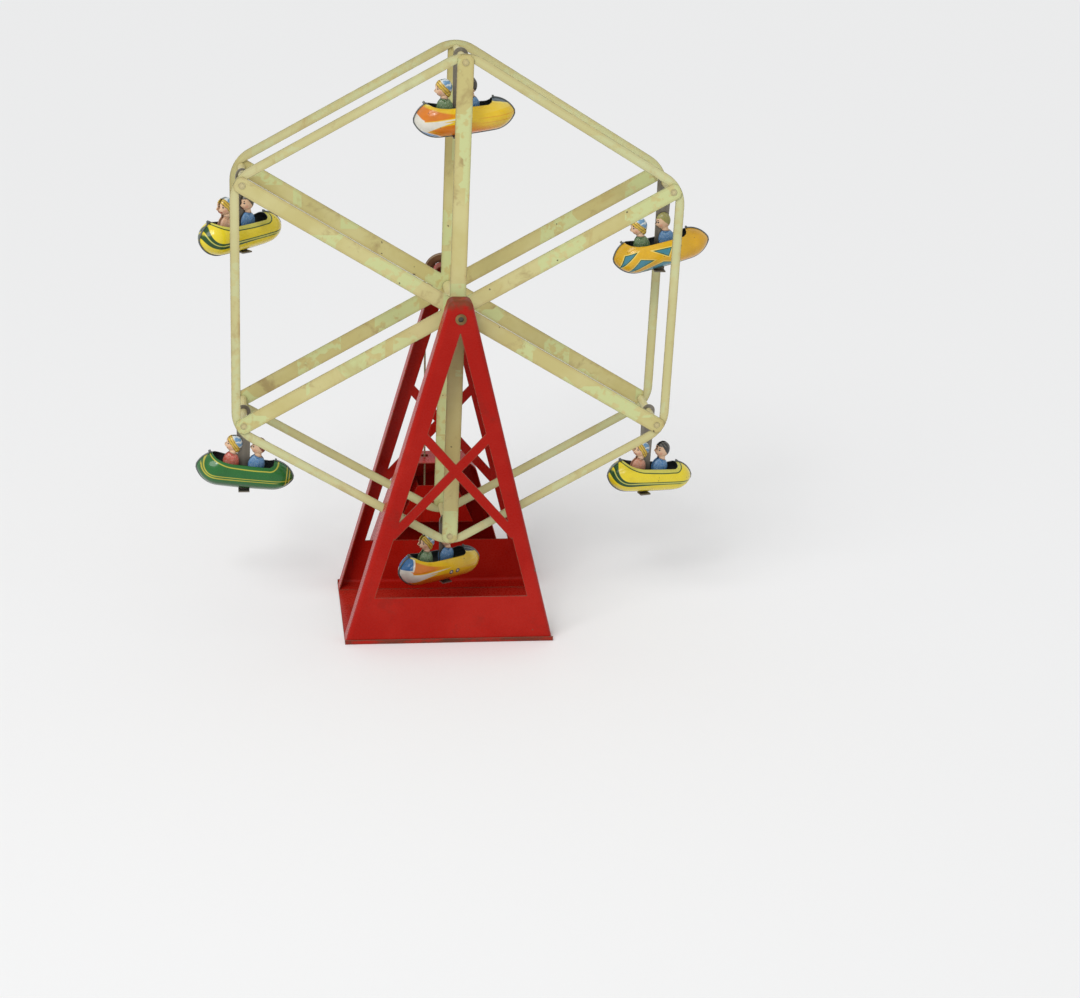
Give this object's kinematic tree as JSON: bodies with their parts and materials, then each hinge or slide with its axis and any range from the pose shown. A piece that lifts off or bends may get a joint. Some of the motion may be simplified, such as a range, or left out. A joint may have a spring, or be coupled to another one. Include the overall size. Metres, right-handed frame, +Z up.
{
  "type": "crank ferris wheel toy",
  "caption": "Pressed tin ferris wheel toy: hexagonal wheel with hanging cigar-shaped gondolas in a red A-frame stand, turned by a rear crank through a cord drive.",
  "frame": {"origin": "middle of the base plate's underside", "axes": "+Z up, +X to the right seen from the front, +Y to the rear, along the wheel's axle"},
  "size_m": [0.3148, 0.1416, 0.3593],
  "materials": {
    "red_enamel": "semi-gloss red lacquer on pressed tinplate, chipped at the folds",
    "brown_red_enamel": "dull dark red lacquer, worn",
    "cream_enamel": "satin cream lacquer on tinplate, yellowed and touched up",
    "bare_tin": "bare tinplate, dull",
    "steel_wire": "drawn steel wire, dull",
    "eyelet_brass": "tarnished brass",
    "brown_pulley": "brown lacquered tin",
    "cord": "twisted cotton cord",
    "knob_wood": "turned beech, stained red",
    "hull_orange": "gloss lithographed tinplate, yellow and orange",
    "hull_teal": "gloss lithographed tinplate, golden yellow and teal",
    "hull_lemon": "gloss lithographed tinplate, lemon yellow and green",
    "hull_blue": "gloss lithographed tinplate, yellow, white and blue",
    "hull_green": "gloss lithographed tinplate, green and yellow",
    "riders_print": "printed tinplate figures"
  },
  "bodies": {
    "stand": {"front_frame": "red_enamel", "rear_frame": "red_enamel", "base_plate": "brown_red_enamel", "axle_bushes": "eyelet_brass", "drive_cover": "red_enamel", "shaft_bracket": "bare_tin", "crank_bushes": "eyelet_brass", "drive_cord": "cord"},
    "wheel": {"axle": "steel_wire", "hub_tube": "cream_enamel", "front_spokes": "cream_enamel", "rear_spokes": "cream_enamel", "front_rim": "cream_enamel", "rear_rim": "cream_enamel", "front_hub_disc": "cream_enamel", "rear_hub_disc": "cream_enamel", "gondola_pins": "cream_enamel", "drive_pulley": "brown_pulley"},
    "crank": {"crank_shaft": "steel_wire", "drive_wheel": "brown_pulley", "crank_arm": "steel_wire", "knob_pin": "steel_wire"},
    "knob": {"crank_knob": "knob_wood"},
    "gondola_1": {"spacer_tube_1": "cream_enamel", "hanger_1": "bare_tin", "near_shell_1": "hull_orange", "far_shell_1": "hull_orange", "near_riders_1": "riders_print", "far_riders_1": "riders_print"},
    "gondola_2": {"spacer_tube_2": "cream_enamel", "hanger_2": "bare_tin", "near_shell_2": "hull_teal", "far_shell_2": "hull_teal", "near_riders_2": "riders_print", "far_riders_2": "riders_print"},
    "gondola_3": {"spacer_tube_3": "cream_enamel", "hanger_3": "bare_tin", "near_shell_3": "hull_lemon", "far_shell_3": "hull_lemon", "near_riders_3": "riders_print", "far_riders_3": "riders_print"},
    "gondola_4": {"spacer_tube_4": "cream_enamel", "hanger_4": "bare_tin", "near_shell_4": "hull_blue", "far_shell_4": "hull_blue", "near_riders_4": "riders_print", "far_riders_4": "riders_print"},
    "gondola_5": {"spacer_tube_5": "cream_enamel", "hanger_5": "bare_tin", "near_shell_5": "hull_green", "far_shell_5": "hull_green", "near_riders_5": "riders_print", "far_riders_5": "riders_print"},
    "gondola_6": {"spacer_tube_6": "cream_enamel", "hanger_6": "bare_tin", "near_shell_6": "hull_lemon", "far_shell_6": "hull_lemon", "near_riders_6": "riders_print", "far_riders_6": "riders_print"}
  },
  "joints": [
    {"name": "wheel_spin", "type": "hinge", "parent": "stand", "child": "wheel", "pos_m": [0, 0, 0.209], "axis": [0, 1, 0], "continuous": true},
    {"name": "crank_spin", "type": "hinge", "parent": "stand", "child": "crank", "pos_m": [0, 0.07, 0.0525], "axis": [0, 1, 0], "continuous": true},
    {"name": "knob_spin", "type": "hinge", "parent": "crank", "child": "knob", "pos_m": [0, 0.085, 0.0265], "axis": [0, 1, 0], "continuous": true},
    {"name": "gondola_1_hang", "type": "hinge", "parent": "wheel", "child": "gondola_1", "pos_m": [0, 0, 0.3545], "axis": [0, 1, 0], "continuous": true},
    {"name": "gondola_2_hang", "type": "hinge", "parent": "wheel", "child": "gondola_2", "pos_m": [0.12601, 0, 0.28175], "axis": [0, 1, 0], "continuous": true},
    {"name": "gondola_3_hang", "type": "hinge", "parent": "wheel", "child": "gondola_3", "pos_m": [0.12601, 0, 0.13625], "axis": [0, 1, 0], "continuous": true},
    {"name": "gondola_4_hang", "type": "hinge", "parent": "wheel", "child": "gondola_4", "pos_m": [0, 0, 0.0635], "axis": [0, 1, 0], "continuous": true},
    {"name": "gondola_5_hang", "type": "hinge", "parent": "wheel", "child": "gondola_5", "pos_m": [-0.12601, 0, 0.13625], "axis": [0, 1, 0], "continuous": true},
    {"name": "gondola_6_hang", "type": "hinge", "parent": "wheel", "child": "gondola_6", "pos_m": [-0.12601, 0, 0.28175], "axis": [0, 1, 0], "continuous": true}
  ],
  "couplings": [
    {"joint": "crank_spin", "follows": "wheel_spin", "ratio": 1.5},
    {"joint": "gondola_1_hang", "follows": "wheel_spin", "ratio": -1},
    {"joint": "gondola_2_hang", "follows": "wheel_spin", "ratio": -1},
    {"joint": "gondola_3_hang", "follows": "wheel_spin", "ratio": -1},
    {"joint": "gondola_4_hang", "follows": "wheel_spin", "ratio": -1},
    {"joint": "gondola_5_hang", "follows": "wheel_spin", "ratio": -1},
    {"joint": "gondola_6_hang", "follows": "wheel_spin", "ratio": -1}
  ]
}
